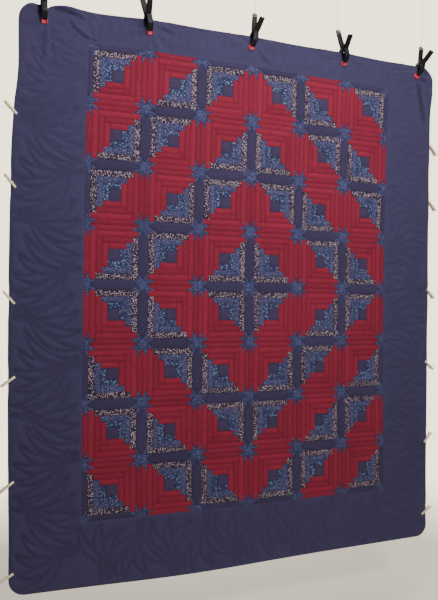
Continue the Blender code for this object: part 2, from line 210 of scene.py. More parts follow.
def weave_height(n):
    """Crossed threads 0.7 mm apart, as a height."""
    heights = []
    for direction in ("X", "Z"):
        wave = n.add("ShaderNodeTexWave", bands_direction=direction)
        wave.inputs["Scale"].default_value = 450.0
        wave.inputs["Distortion"].default_value = 1.2
        n.feed(wave.inputs["Vector"], n.place)
        heights.append(wave.outputs["Fac"])
    return n.math("MAXIMUM", *heights)


def cloth(name, colour, print_of=(), mottle=0.12, sheen=0.04):
    """Printed quilting cotton. print_of lists (colour, cells per metre, size in a cell) for each print."""
    n = Nodes(name)
    dark = tuple(c * (1 - mottle) for c in colour)
    light = tuple(min(1.0, c * (1 + mottle)) for c in colour)
    shade = n.mix(n.ranged(n.noise(110.0, 4.0), 0.35, 0.65), dark, light)
    for spot, scale, size in print_of:
        ragged = n.math("ADD", n.cells(scale), n.math("MULTIPLY", n.noise(scale * 2.5, 2.0), 0.30))
        shade = n.mix(n.ranged(ragged, size + 0.13, size + 0.19, 1.0, 0.0), shade, spot)
    # Each cut piece has its own tone, and painted shade makes the cloth darker down in the seams, quilting lines
    # and folds
    toned = n.ranged(n.attribute("tone"), 0.0, 1.0, 0.93, 1.07)
    painted_shade = n.attribute("painted_shade")
    painted_shade = n.ranged(n.math("MULTIPLY", painted_shade, painted_shade), 0.0, 2.0, 1.0, FOLD_SHADE)
    worn = n.ranged(n.noise(7.0, 3.0), 0.3, 0.7, 0.96, 1.04)
    level = n.math("MULTIPLY", n.math("MULTIPLY", toned, painted_shade), worn)
    scaled = n.add("ShaderNodeVectorMath", operation="SCALE")
    n.feed(scaled.inputs[0], shade)
    n.feed(scaled.inputs["Scale"], level)
    weave = weave_height(n)
    n.bump(n.math("ADD", weave, n.math("MULTIPLY", n.noise(160.0, 3.0), 1.4)), 0.35, 0.0005)
    return n.finish(scaled.outputs[0], n.ranged(weave, 0.0, 1.0, 0.95, 0.85), sheen=sheen, specular=0.15)


def make_cloths():
    """The fabrics in the order that the patchwork's numbers below use."""
    deep_navy, dot_navy = (0.040, 0.031, 0.076), (0.050, 0.039, 0.092)
    return [
        cloth("navy_print", deep_navy, ((dot_navy, 190.0, 0.30),)),
        cloth("red_print", (0.250, 0.0180, 0.0425), (((0.195, 0.0125, 0.0310), 170.0, 0.30),)),
        cloth("wine_print", (0.208, 0.0152, 0.0370), (((0.265, 0.0210, 0.0470), 150.0, 0.30),)),
        cloth("slate_solid", (0.050, 0.036, 0.086), (((0.037, 0.026, 0.065), 140.0, 0.28),)),
        cloth(
            "bright_floral",
            (0.034, 0.040, 0.112),
            (((0.240, 0.320, 0.440), 115.0, 0.31), ((0.014, 0.016, 0.050), 150.0, 0.26)),
            mottle=0.25,
        ),
        cloth(
            "blue_print",
            (0.050, 0.050, 0.126),
            (((0.200, 0.198, 0.330), 150.0, 0.30), ((0.022, 0.021, 0.060), 130.0, 0.24)),
            mottle=0.25,
        ),
        cloth(
            "tan_speckle",
            (0.030, 0.022, 0.046),
            (((0.700, 0.530, 0.560), 165.0, 0.31), ((0.150, 0.100, 0.160), 210.0, 0.20)),
            mottle=0.25,
        ),
        cloth(
            "star_blue",
            (0.042, 0.046, 0.120),
            (((0.165, 0.168, 0.305), 165.0, 0.30), ((0.026, 0.028, 0.080), 140.0, 0.24)),
            mottle=0.2,
        ),
        cloth("border_navy", (0.049, 0.042, 0.098), mottle=0.07),
    ]


NAVY, RED, WINE, SLATE, BRIGHT, BLUE, TAN, STAR, BORDER = range(9)


# ---- The cutting lattice ----
def lattice_lines(start, panel_start, panel_end, end, blocks):
    """Line places across the quilt, the panel's first and last line, and each block's first line."""
    count = max(1, round(abs(panel_start - start) / BORDER_CELL))
    places = list(np.linspace(start, panel_start, count + 1))
    first = len(places) - 1
    turn = 1.0 if panel_end > panel_start else -1.0
    sash_step, log_step = SASH / 2 / SASH_CELLS, BLOCK / LOGS_ACROSS / LOG_CELLS
    steps, block_lines = [], []
    for number in range(blocks):
        steps += [sash_step] * (SASH_CELLS if number == 0 else 2 * SASH_CELLS)
        block_lines.append(first + len(steps))
        steps += [log_step] * (LOGS_ACROSS * LOG_CELLS)
    steps += [sash_step] * SASH_CELLS
    stretch = abs(panel_end - panel_start) / sum(steps)
    places += list(panel_start + turn * stretch * np.cumsum(steps))
    last = len(places) - 1
    count = max(1, round(abs(end - panel_end) / BORDER_CELL))
    places += list(np.linspace(panel_end, end, count + 1))[1:]
    return np.array(places), first, last, block_lines


INSIDE = BINDING * 0.55  # the cloth runs this far under the binding's inner edge from the quilt's edge
XS, PANEL_LEFT, PANEL_RIGHT, BLOCKS_X = lattice_lines(
    EDGE_LOW.x + INSIDE, PANEL_LOW.x, PANEL_HIGH.x, EDGE_HIGH.x - INSIDE, BLOCK_COLUMNS
)
ZS, PANEL_TOP, PANEL_BOTTOM, BLOCKS_Z = lattice_lines(
    EDGE_HIGH.z - INSIDE, PANEL_HIGH.z, PANEL_LOW.z, EDGE_LOW.z + INSIDE, BLOCK_ROWS
)
ROWS, COLUMNS = len(ZS), len(XS)
BLOCK_CELLS = LOGS_ACROSS * LOG_CELLS

fabric = np.full((ROWS - 1, COLUMNS - 1), BORDER)
tone = np.full((ROWS - 1, COLUMNS - 1), 0.5)
corner_fabric = np.full((ROWS - 1, COLUMNS - 1), -1)
corner_side = np.zeros((ROWS - 1, COLUMNS - 1), int)  # 0 top left, 1 top right, 2 bottom left, 3 bottom right
seam_distance = np.full((ROWS, COLUMNS), 0.0)


def lay(j0, j1, i0, i1, cloth_number):
    """Lays one cut piece over cells j0..j1, i0..i1 and measures its points from its seams."""
    fabric[j0:j1, i0:i1] = cloth_number
    tone[j0:j1, i0:i1] = random_numbers.uniform(0.0, 1.0)
    across = np.minimum(abs(XS[i0:i1 + 1] - XS[i0]), abs(XS[i1] - XS[i0:i1 + 1]))
    down = np.minimum(abs(ZS[j0:j1 + 1] - ZS[j0]), abs(ZS[j1] - ZS[j0:j1 + 1]))
    seam_distance[j0:j1 + 1, i0:i1 + 1] = np.minimum(across[None, :], down[:, None])


def blue_sides(row, column):
    """Whether a block's blue logs are on its right and at its bottom; the layout mirrors both ways."""
    folded = min(row, BLOCK_ROWS - 1 - row) + min(column, BLOCK_COLUMNS - 1 - column)
    turned = folded % 2 == 1
    return turned != (column >= BLOCK_COLUMNS // 2), turned != (row >= BLOCK_ROWS // 2)


def lay_block(row, column):
    """One log cabin block: blue logs on two sides and red ones on the others, round a square centre."""
    right, bottom = blue_sides(row, column)

    def log(a0, a1, b0, b1, cloth_number):
        """a and b count logs from the blue sides."""
        if right:
            a0, a1 = LOGS_ACROSS - a1, LOGS_ACROSS - a0
        if bottom:
            b0, b1 = LOGS_ACROSS - b1, LOGS_ACROSS - b0
        j, i = BLOCKS_Z[row], BLOCKS_X[column]
        lay(j + b0 * LOG_CELLS, j + b1 * LOG_CELLS, i + a0 * LOG_CELLS, i + a1 * LOG_CELLS, cloth_number)

    end = LOGS_ACROSS
    for ring, (cool, warm) in enumerate(((TAN, RED), (BLUE, WINE), (BRIGHT, RED))):
        log(ring, ring + 1, ring, end - 1 - ring, cool)
        log(ring + 1, end - 1 - ring, ring, ring + 1, cool)
        log(ring, end - 1 - ring, end - 1 - ring, end - ring, warm)
        log(end - 1 - ring, end - ring, ring, end - ring, warm)
    log(3, 5, 3, 5, SLATE)


def star_point(j, i, down, across):
    """A star's triangle from the corner (j, i), going down or up and across to the right or left."""
    for v in range(SASH_CELLS):
        for u in range(SASH_CELLS - v):
            cell = (j + v if down > 0 else j - 1 - v, i + u if across > 0 else i - 1 - u)
            if u + v == SASH_CELLS - 1:
                corner_fabric[cell] = STAR
                corner_side[cell] = (0 if down > 0 else 2) + (0 if across > 0 else 1)
            else:
                fabric[cell] = STAR
    step = abs(XS[i + across] - XS[i])
    for v in range(SASH_CELLS + 1):
        for u in range(SASH_CELLS + 1):
            point = (j + down * v, i + across * u)
            from_slope = abs(u + v - SASH_CELLS) * step * 0.7
            seam_distance[point] = min(seam_distance[point], from_slope)


def sash_spans(first, last, block_lines):
    """The (start, end) lines of each sash, the outer ones half as wide."""
    starts = [first] + [line + BLOCK_CELLS for line in block_lines]
    return list(zip(starts, block_lines + [last]))


def halves(first, last, blue):
    """A red sash is quilted along its middle; a blue one and an outer one are whole."""
    if blue or last - first <= SASH_CELLS:
        return [(first, last)]
    middle = (first + last) // 2
    return [(first, middle), (middle, last)]


def lay_panel():
    sashes_x = sash_spans(PANEL_LEFT, PANEL_RIGHT, BLOCKS_X)
    sashes_z = sash_spans(PANEL_TOP, PANEL_BOTTOM, BLOCKS_Z)
    for row, j in enumerate(BLOCKS_Z):
        for number, (i0, i1) in enumerate(sashes_x):
            beside = max(number - 1, 0)
            blue = blue_sides(row, beside)[0] == (number > 0)
            for a, b in halves(i0, i1, blue):
                lay(j, j + BLOCK_CELLS, a, b, NAVY if blue else WINE)
    for column, i in enumerate(BLOCKS_X):
        for number, (j0, j1) in enumerate(sashes_z):
            beside = max(number - 1, 0)
            blue = blue_sides(beside, column)[1] == (number > 0)
            for a, b in halves(j0, j1, blue):
                lay(a, b, i, i + BLOCK_CELLS, NAVY if blue else WINE)
    for j0, j1 in sashes_z:
        for i0, i1 in sashes_x:
            lay(j0, j1, i0, i1, STAR)
    for row in range(BLOCK_ROWS):
        for column in range(BLOCK_COLUMNS):
            lay_block(row, column)
    for row, j in enumerate(BLOCKS_Z):
        for i0, i1 in sashes_x:
            for down, jj in ((1, j), (-1, j + BLOCK_CELLS)):
                if i0 != PANEL_LEFT:
                    star_point(jj, i0, down, 1)
                if i1 != PANEL_RIGHT:
                    star_point(jj, i1, down, -1)
    for column, i in enumerate(BLOCKS_X):
        for j0, j1 in sashes_z:
            for across, ii in ((1, i), (-1, i + BLOCK_CELLS)):
                if j0 != PANEL_TOP:
                    star_point(j0, ii, 1, across)
                if j1 != PANEL_BOTTOM:
                    star_point(j1, ii, -1, across)


lay_panel()


# ---- Quilting in the border: feather plumes on both sides of a waving line that is not drawn itself ----
def plume(root, along, side, length, width):
    """One feather plume, a bent teardrop from a root on the line."""
    out = Vector((-along.y, along.x)) * side
    points = []
    steps = 40
    for k in range(steps + 1):
        t = k / steps
        reach = math.sin(math.pi * t)
        sweep = (0.5 - t) * width
        bend = 0.35 * length * reach**2
        points.append(root + out * (length * reach) + along * (bend - sweep))
    return points


def vine(start, end, band, waves, gap=0.048):
    """Points of the plumes along a waving vine, from start to end, in a border this wide."""
    run = end - start
    along = run.normalized()
    across = Vector((-along.y, along.x))
    swing = band * 0.16
    count = round(run.length / gap)
    points = []
    for k in range(count):
        t = (k + 0.5) / count
        wave = swing * math.sin(2 * math.pi * waves * t)
        root = start + run * t + across * wave
        slope = swing * 2 * math.pi * waves / run.length * math.cos(2 * math.pi * waves * t)
        direction = (along + across * slope).normalized()
        for side in (1, -1):
            length = band * 0.42 - side * wave
            points += plume(root, direction, side, length, gap * 0.95)
    return points


def quilting_points():
    inset = 0.020
    left = (EDGE_LOW.x + PANEL_LOW.x) / 2
    right = (EDGE_HIGH.x + PANEL_HIGH.x) / 2
    top = (EDGE_HIGH.z + PANEL_HIGH.z) / 2
    bottom = (EDGE_LOW.z + PANEL_LOW.z) / 2
    side_band = PANEL_LOW.x - EDGE_LOW.x
    bottom_band = PANEL_LOW.z - EDGE_LOW.z
    top_band = EDGE_HIGH.z - PANEL_HIGH.z
    low, high = EDGE_LOW.z + inset, EDGE_HIGH.z - inset
    points = vine(Vector((left, low)), Vector((left, high)), side_band, 6)
    points += vine(Vector((right, high)), Vector((right, low)), EDGE_HIGH.x - PANEL_HIGH.x, 6)
    points += vine(Vector((PANEL_LOW.x, bottom)), Vector((PANEL_HIGH.x, bottom)), bottom_band, 5)
    points += vine(Vector((PANEL_HIGH.x, top)), Vector((PANEL_LOW.x, top)), top_band, 5)
    return points


def border_seams():
    """Distance from the border's lattice points to the nearest quilting line."""
    points = quilting_points()
    tree = kdtree.KDTree(len(points))
    for k, point in enumerate(points):
        tree.insert((point.x, point.y, 0.0), k)
    tree.balance()
    for j in range(ROWS):
        for i in range(COLUMNS):
            if PANEL_TOP <= j <= PANEL_BOTTOM and PANEL_LEFT <= i <= PANEL_RIGHT:
                continue
            gap = tree.find((XS[i], ZS[j], 0.0))[2]
            beside_panel = max(
                XS[PANEL_LEFT] - XS[i], XS[i] - XS[PANEL_RIGHT],
                ZS[j] - ZS[PANEL_TOP], ZS[PANEL_BOTTOM] - ZS[j],
            )
            edge = min(XS[i] - XS[0], XS[-1] - XS[i], ZS[0] - ZS[j], ZS[j] - ZS[-1])
            seam_distance[j, i] = min(max(0.0, gap - BORDER_LINE), beside_panel + 0.004, edge + 0.002)
    # The navy outer sashes run into the border almost unseen
    for line in (np.s_[PANEL_TOP, :], np.s_[PANEL_BOTTOM, :], np.s_[:, PANEL_LEFT], np.s_[:, PANEL_RIGHT]):
        seam_distance[line] = np.maximum(seam_distance[line], 0.004)


border_seams()


# ---- How the cloth hangs ----
def part_middle(node):
    low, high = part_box(node)
    return (Vector(low) + Vector(high)) / 2


PADS = [part_middle(f"clamp_{n}_front_pad") for n in range(1, 6)]
PEG_NAMES = [f"peg_{side}_{n}" for side in ("left", "right") for n in range(1, 7)]
PEG_PINS = {name: Vector(JOINTS[f"{name}_squeeze"]["pos_m"]) for name in PEG_NAMES}
JAW_REACH = 0.015  # from a peg's pin in to where its jaws hold the cloth
PRESS_REACH = 0.012  # from a peg's pin in to where they press it flat
PAD_BELOW_EDGE = 0.048
FLAT_PADS = [Vector((pad.x, pad.y, EDGE_HIGH.z - PAD_BELOW_EDGE)) for pad in PADS]  # before the cloth hangs
# Each crease runs from a clamp: its number, the start and end from the pad (across, down), bow, depth, width
CREASES = (
    (1, (0.020, -0.030), (0.200, 0.010), 0.014, 0.0075, 0.010),
    (1, (0.090, 0.000), (0.250, 0.085), -0.020, 0.0050, 0.010),
    (1, (-0.085, -0.052), (-0.015, -0.020), 0.012, 0.0080, 0.011),
    (1, (-0.012, 0.030), (-0.045, 0.300), 0.010, 0.0026, 0.014),
    (1, (0.016, 0.040), (0.055, 0.250), -0.008, 0.0024, 0.012),
    (2, (-0.020, -0.020), (-0.150, -0.004), 0.008, 0.0040, 0.009),
    (2, (0.020, -0.016), (0.170, 0.024), 0.008, 0.0042, 0.010),
    (2, (0.006, 0.035), (0.030, 0.200), 0.006, 0.0020, 0.012),
    (3, (-0.022, -0.010), (-0.140, 0.020), 0.006, 0.0040, 0.009),
    (3, (0.022, -0.008), (0.130, 0.075), -0.010, 0.0042, 0.010),
    (3, (-0.010, 0.030), (-0.060, 0.130), 0.004, 0.0024, 0.011),
    (4, (-0.022, -0.016), (-0.130, 0.002), 0.006, 0.0032, 0.009),
    (4, (0.022, -0.016), (0.150, 0.012), 0.006, 0.0036, 0.010),
    (4, (0.004, 0.032), (0.030, 0.160), 0.004, 0.0018, 0.012),
    (5, (-0.020, -0.022), (-0.200, -0.012), 0.006, 0.0046, 0.009),
    (5, (0.016, 0.016), (0.098, 0.360), 0.010, 0.0110, 0.016),
    (5, (0.020, -0.010), (0.095, 0.030), -0.010, 0.0046, 0.012),
)


def inwards(name, reach):
    """A move of this length from a peg towards the quilt."""
    return reach if "left" in name else -reach


def bell(distance, width):
    return np.exp(-(distance / width) ** 2)


def plateau(x, z, middle_x, middle_z, radius):
    """One near a place, falling to nought beyond the radius."""
    far = ((x - middle_x) ** 2 + (z - middle_z) ** 2) / radius**2
    return np.exp(-far**2)


def edge_drop(x):
    """How far the top edge hangs down at each place across: level at the pads' own heights."""
    drops = [EDGE_HIGH.z - PAD_BELOW_EDGE - pad.z for pad in PADS]
    level = np.interp(x, [pad.x for pad in PADS], drops) * 0.75
    beside = bell(x - PADS[0].x - 0.10, 0.08)
    return level - 0.010 * beside + 0.012 * bell(x - PADS[0].x, 0.013)


def crease(x, z, number, start, end, bow, depth, width):
    """A fold's groove with a ridge above it, along a bowed line: a move forward, and how shaded it is."""
    pad = FLAT_PADS[number - 1]
    tail = np.array((pad.x + start[0], pad.z - start[1]))
    tip = np.array((pad.x + end[0], pad.z - end[1]))
    run = tip - tail
    length = np.linalg.norm(run)
    along = run / length
    across = np.array((-along[1], along[0]))
    u = ((x - tail[0]) * along[0] + (z - tail[1]) * along[1]) / length
    held = ramp(u)
    v = (x - tail[0]) * across[0] + (z - tail[1]) * across[1] - bow * 4 * held * (1 - held)
    fade = ramp(u / 0.12) * ramp((1 - u) / 0.45)
    move = depth * fade * (1.1 * bell(v - width * 1.1, width) - bell(v + width * 0.2, width * 0.7))
    return move, min(1.4, depth / 0.006) * fade * bell(v + width * 0.2, width * 0.55)


def hang(x, z):
    """Where a point of the flat quilt goes: its move across, up and forward (towards -Y)."""
    s = (x - EDGE_LOW.x) / QUILT_WIDTH
    t = (EDGE_HIGH.z - z) / QUILT_HEIGHT
    near_left, near_right = ramp(1 - s / 0.13) ** 2, ramp(1 - (1 - s) / 0.12) ** 2
    near_top = ramp(1 - t / 0.10) ** 2
    mid = np.sin(np.pi * ramp(t))
    # The whole cloth is pulled about, and its right side is drawn in at half height
    drawn_in = 0.022 * s**3 * (1 - 1.3 * ramp((s - 0.9) / 0.1)) + 0.008 * bell(s - 0.86, 0.12)
    across = s**1.3 * (-0.015 + 0.034 * t**2) - drawn_in * mid + 0.006 * np.sin(np.pi * s)
    across = across + (1 - s) ** 2 * (0.014 * ramp(1 - t / 0.25) - 0.006 * mid)
    across = across - 0.012 * np.sqrt(near_left) * mid
    across = across + near_left * 0.012 * bell(t - 0.11, 0.06) + near_right * 0.022 * bell(t - 0.035, 0.05)
    for name, pin in PEG_PINS.items():
        inward = inwards(name, JAW_REACH)
        side = near_left if "left" in name else near_right
        across = across + side * 0.003 * np.sign(inward) * (1 - 2 * bell(z - pin.z, 0.09)) / 3
        across = across * (1 - 0.25 * plateau(x, z, pin.x + inward, pin.z, 0.075))
    up = -edge_drop(x) * np.exp(-ramp(t) / 0.18) + 0.012 * ramp(1 - t / 0.03)
    up = up - s * (0.006 * ramp(t / 0.06) * ramp(1 - t / 0.35) + 0.003 * mid)
    up = up + (1 - s) ** 2 * (0.024 * ramp((t - 0.7) / 0.3) + 0.010 * bell(t - 0.87, 0.08))
    up = up - 0.016 * bell(s - 0.38, 0.22) * ramp((t - 0.9) / 0.1)
    for a, b in zip(PADS, PADS[1:]):
        up = up - near_top * 0.004 * bell(x - (a.x + b.x) / 2, (b.x - a.x) * 0.3)
    # Soft waves, wrinkles that run out from the clamps, and folds
    forward = 0.0040 * np.sin(2 * np.pi * (1.1 * s + 0.35 * t) + 0.6) * np.sin(np.pi * ramp(t * 1.1))
    forward = forward + 0.0022 * np.sin(2 * np.pi * (2.7 * s - 0.9 * t) + 1.9) * np.exp(-t * 2.2)
    forward = forward + 0.0016 * np.sin(2 * np.pi * (1.3 * s + 4.1 * t) + 0.4) * ramp(t)
    for number, pad in enumerate(FLAT_PADS):
        dx, dz = x - pad.x, pad.z - z
        far = np.sqrt(dx**2 + dz**2)
        rays = np.cos(np.arctan2(dx, dz) * 9.0 + number * 1.3) * bell(far - 0.09, 0.06)
        forward = forward + 0.0020 * rays
    for fold in CREASES:
        forward = forward + crease(x, z, *fold)[0]
    # The top left corner stands up in an ear
    ear = bell(x - (EDGE_LOW.x + 0.05), 0.05) * bell(z - (EDGE_HIGH.z - 0.03), 0.05)
    forward = forward + 0.008 * ear
    for held in FLAT_PADS:
        forward = forward * (1 - plateau(x, z, held.x, held.z, 0.040))
    for name, pin in PEG_PINS.items():
        inward = inwards(name, JAW_REACH)
        forward = forward * (1 - plateau(x, z, pin.x + inward, pin.z, 0.045))
    return across, up, forward


def fold_shade(x, z):
    """How shaded the cloth is down in its folds."""
    return np.maximum.reduce([crease(x, z, *fold)[1] for fold in CREASES])


def pressed(x, z):
    """One under the clamps' pads and the pegs' jaws, where the cloth is held flat, and nought elsewhere."""
    total = np.zeros_like(x)
    for pad in PADS:
        total = np.maximum(total, plateau(x, z, pad.x, pad.z, 0.032))
    for name, pin in PEG_PINS.items():
        inward = inwards(name, PRESS_REACH)
        total = np.maximum(total, plateau(x, z, pin.x + inward, pin.z, 0.032))
    return total


def rounded(x, z):
    """Draws the lattice's four square corners in to round ones."""
    radius = CORNER_RADIUS - INSIDE
    x, z = np.array(x, float), np.array(z, float)
    for side_x, edge_x in ((-1, XS[0]), (1, XS[-1])):
        for side_z, edge_z in ((1, ZS[0]), (-1, ZS[-1])):
            centre_x, centre_z = edge_x - side_x * radius, edge_z - side_z * radius
            a, b = (x - centre_x) * side_x / radius, (z - centre_z) * side_z / radius
            inside = (a > 0) & (b > 0)
            aa, bb = a * np.sqrt(1 - b**2 / 2 * inside), b * np.sqrt(1 - a**2 / 2 * inside)
            x = np.where(inside, centre_x + side_x * radius * aa, x)
            z = np.where(inside, centre_z + side_z * radius * bb, z)
    return x, z


def cloth_points(front):
    """The lattice's points in space for the front or the back of the quilt, and how much painted shade each gets
    down in its seams and folds.
    """
    x, z = rounded(*np.meshgrid(XS, ZS))
    across, up, forward = hang(x, z)
    in_panel = np.zeros(x.shape, bool)
    in_panel[PANEL_TOP:PANEL_BOTTOM + 1, PANEL_LEFT:PANEL_RIGHT + 1] = True
    puffed = 1 - np.exp(-seam_distance / np.where(in_panel, PUFF_REACH, BORDER_PUFF_REACH))
    ripple = 0.0004 * np.sin(x * 211.0 + 3 * np.sin(z * 37.0)) * np.sin(z * 167.0 + 2 * np.sin(x * 53.0))
    # The border is pulled flatter at the top, by the clamps, and on the right
    slack = np.clip(0.55 + (EDGE_HIGH.z - z) / QUILT_HEIGHT, 0.55, 1.0)
    slack = slack * (1 - 0.35 * (x - EDGE_LOW.x) / QUILT_WIDTH)
    height = np.where(in_panel, PUFF, BORDER_PUFF * slack)
    edge = np.minimum(np.minimum(XS - XS[0], XS[-1] - XS), np.minimum(ZS[0] - ZS, ZS - ZS[-1])[:, None])
    out = SEAM_DEPTH + (height if front else 0.6 * height) * puffed + ripple * puffed
    flat = HALF_THICKNESS - 0.0001
    held = pressed(x + across, z + up)
    out = np.where(edge < 0.004, HALF_THICKNESS * 0.8, out + (flat - out) * held)
    y = MIDDLE_Y - forward + (-out if front else out)
    # Painted shade: darker down in the seams and quilting lines, less in the flatter border, none where the cloth
    # is held, with the folds' painted shade added below
    painted_shade = np.where(in_panel, 1 - puffed, 0.8 * slack * (1 - puffed)) * (1 - held)
    return np.stack([x + across, y, z + up], axis=-1), np.maximum(painted_shade, fold_shade(x, z) * (1 - held))


def cloth_object(name, points, painted_shade, cells, cloths, back=False):
    """A sheet from the lattice. cells picks the cells; each has one cloth, or two across its diagonal."""
    numbers = np.full(points.shape[:2], -1)
    faces, materials, tones = [], [], []
    rows, columns = np.nonzero(cells)
    used = np.zeros(points.shape[:2], bool)
    for dj in (0, 1):
        for di in (0, 1):
            used[rows + dj, columns + di] = True
    numbers[used] = np.arange(used.sum())
    split = (  # the two triangles of a cut cell, the corner's own first, by corner_side
        ((0, 2, 1), (1, 2, 3)), ((1, 0, 3), (0, 2, 3)), ((2, 3, 0), (0, 3, 1)), ((3, 1, 2), (0, 2, 1)),
    )
    for j, i in zip(rows, columns):
        corners = (numbers[j, i], numbers[j, i + 1], numbers[j + 1, i], numbers[j + 1, i + 1])
        if corner_fabric[j, i] >= 0 and not back:
            for which, triangle in enumerate(split[corner_side[j, i]]):
                faces.append([corners[k] for k in triangle])
                materials.append(corner_fabric[j, i] if which == 0 else fabric[j, i])
                tones.append(tone[j, i])
        else:
            faces.append([corners[k] for k in (0, 2, 3, 1)])
            materials.append(BORDER if back else fabric[j, i])
            tones.append(0.5 if back else tone[j, i])
    if back:
        faces = [face[::-1] for face in faces]
    mesh = bpy.data.meshes.new(name)
    mesh.from_pydata(points[used].tolist(), [], [[int(v) for v in face] for face in faces])
    for material in cloths:
        mesh.materials.append(material)
    mesh.polygons.foreach_set("material_index", np.array(materials, np.int32))
    store(mesh, "tone", "FACE", tones)
    # How much painted shade each point gets in the seams and folds
    store(mesh, "painted_shade", "POINT", painted_shade[used])
    mesh.shade_smooth()
    return linked(name, mesh)


def binding_object(points, cloths):
    """The narrow binding: a flattened roll that follows the hung quilt's edge."""
    last_j, last_i = ROWS - 1, COLUMNS - 1
    rim = [(0, i) for i in range(0, last_i, 2)] + [(j, last_i) for j in range(0, last_j, 2)]
    rim += [(last_j, i) for i in range(last_i, 0, -2)] + [(j, 0) for j in range(last_j, 0, -2)]
    flat = np.array([rounded(XS[i], ZS[j]) for j, i in rim])
    ahead, behind = np.roll(flat, -1, axis=0), np.roll(flat, 1, axis=0)
    along = ahead - behind
    outward = np.stack([-along[:, 1], along[:, 0]], axis=1) / np.linalg.norm(along, axis=1)[:, None]
    sides = 12
    vertices, faces = [], []
    for (x, z), (ox, oz) in zip(flat, outward):
        across, up, forward = hang(x, z)
        for k in range(sides):
            turn = 2 * math.pi * k / sides
            # A superellipse, flat in front and behind and round at the very edge
            out = math.copysign(abs(math.cos(turn)) ** 0.7, math.cos(turn)) * BINDING / 2
            lift = math.copysign(abs(math.sin(turn)) ** 0.7, math.sin(turn)) * HALF_THICKNESS
            vertices.append((x + across + ox * out, MIDDLE_Y - forward + lift, z + up + oz * out))
    count = len(flat)
    for a in range(count):
        b = (a + 1) % count
        for k in range(sides):
            m = (k + 1) % sides
            faces.append((a * sides + k, a * sides + m, b * sides + m, b * sides + k))
    mesh = bpy.data.meshes.new("quilt_binding_roll")
    mesh.from_pydata(vertices, [], faces)
    mesh.materials.append(cloths[BORDER])
    store(mesh, "tone", "POINT", [0.35] * len(vertices))
    # A little painted shade all over the binding
    store(mesh, "painted_shade", "POINT", [0.1] * len(vertices))
    mesh.shade_smooth()
    mesh.update()
    return linked("quilt_binding_roll", mesh)


def add_quilt():
    cloths = make_cloths()
    cells = np.zeros((ROWS - 1, COLUMNS - 1), bool)
    cells[PANEL_TOP:PANEL_BOTTOM, PANEL_LEFT:PANEL_RIGHT] = True
    points, painted_shade = cloth_points(True)
    panel = cloth_object("pieced_top_cloth", points, painted_shade, cells, cloths)
    border = cloth_object("border_cloth", points, painted_shade, ~cells, cloths)
    # The backing needs only every other line; all the seams lie on lines that are kept
    keep_j = sorted({0, ROWS - 1, *range(PANEL_TOP % 2 ^ 1, ROWS, 2)})
    keep_i = sorted({0, COLUMNS - 1, *range(PANEL_LEFT % 2 ^ 1, COLUMNS, 2)})
    points, painted_shade = cloth_points(False)
    grid = np.ix_(keep_j, keep_i)
    whole = np.ones((len(keep_j) - 1, len(keep_i) - 1), bool)
    backing = cloth_object("backing_cloth", points[grid], painted_shade[grid], whole, cloths, back=True)
    roll = binding_object(points, cloths)
    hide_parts("quilt_pieced_top")
    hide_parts("quilt_border")
    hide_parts("quilt_backing", "quilt_batting")
    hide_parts("quilt_binding")
    slots = ("patchwork", "navy_cotton", "backing_cotton", "navy_cotton")
    for piece, slot in zip((panel, border, backing, roll), slots):
        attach(piece, "root")


# ---- Hardware materials ----
def make_nylon():
    n = Nodes("black_nylon")
    grain = n.noise(900.0, 3.0)
    scuffs = n.ranged(n.noise(60.0, 5.0, roughness=0.65), 0.62, 0.72)
    colour = n.mix(scuffs, (0.006, 0.006, 0.007), (0.020, 0.020, 0.022))
    n.bump(grain, 0.25, 0.0002)
    return n.finish(colour, n.ranged(grain, 0.3, 0.7, 0.45, 0.62), specular=0.35)


def make_rubber():
    n = Nodes("red_rubber")
    blotch = n.ranged(n.noise(130.0, 4.0), 0.35, 0.65)
    colour = n.mix(blotch, (0.46, 0.025, 0.050), (0.62, 0.050, 0.080))
    n.bump(n.noise(700.0, 2.0), 0.3, 0.0002)
    return n.finish(colour, n.ranged(blotch, 0.0, 1.0, 0.48, 0.62))


def make_steel():
    n = Nodes("spring_steel")
    brushed = n.noise(300.0, 4.0, stretch=(8.0, 1.0, 1.0))
    colour = n.mix(brushed, (0.42, 0.42, 0.43), (0.68, 0.68, 0.69))
    return n.finish(colour, n.ranged(brushed, 0.3, 0.7, 0.25, 0.45), metallic=1.0)


def make_wood():
    n = Nodes("pine_wood")
    grain = n.noise(55.0, 6.0, stretch=(0.6, 6.0, 6.0), roughness=0.65)
    fine = n.noise(420.0, 4.0, stretch=(0.3, 2.0, 2.0))
    shade = n.math("ADD", n.math("MULTIPLY", grain, 0.7), n.math("MULTIPLY", fine, 0.3))
    colour = n.mix(n.ranged(shade, 0.38, 0.62), (0.800, 0.610, 0.360), (0.950, 0.830, 0.600))
    n.bump(shade, 0.3, 0.0004)
    return n.finish(colour, n.ranged(fine, 0.3, 0.7, 0.55, 0.72))


def make_cotton_cord():
    n = Nodes("cotton_cord")
    strands = n.noise(650.0, 3.0, stretch=(1.0, 1.0, 0.35))
    colour = n.mix(n.ranged(strands, 0.35, 0.65), (0.60, 0.57, 0.50), (0.86, 0.84, 0.78))
    n.bump(strands, 0.6, 0.0004)
    return n.finish(colour, 0.9, sheen=0.2)


HARDWARE = {  # the looks, by the record's material slots
    "black_nylon": make_nylon(), "red_rubber": make_rubber(), "spring_steel": make_steel(),
    "pine": make_wood(), "cotton_cord": make_cotton_cord(),
}
BODY_OF = {node: body for body, nodes in frame["record"]["behaviour"]["bodies"].items() for node in nodes}


TIP_BELOW = 0.040  # what is further than this below a clamp's pin is a lever's tip


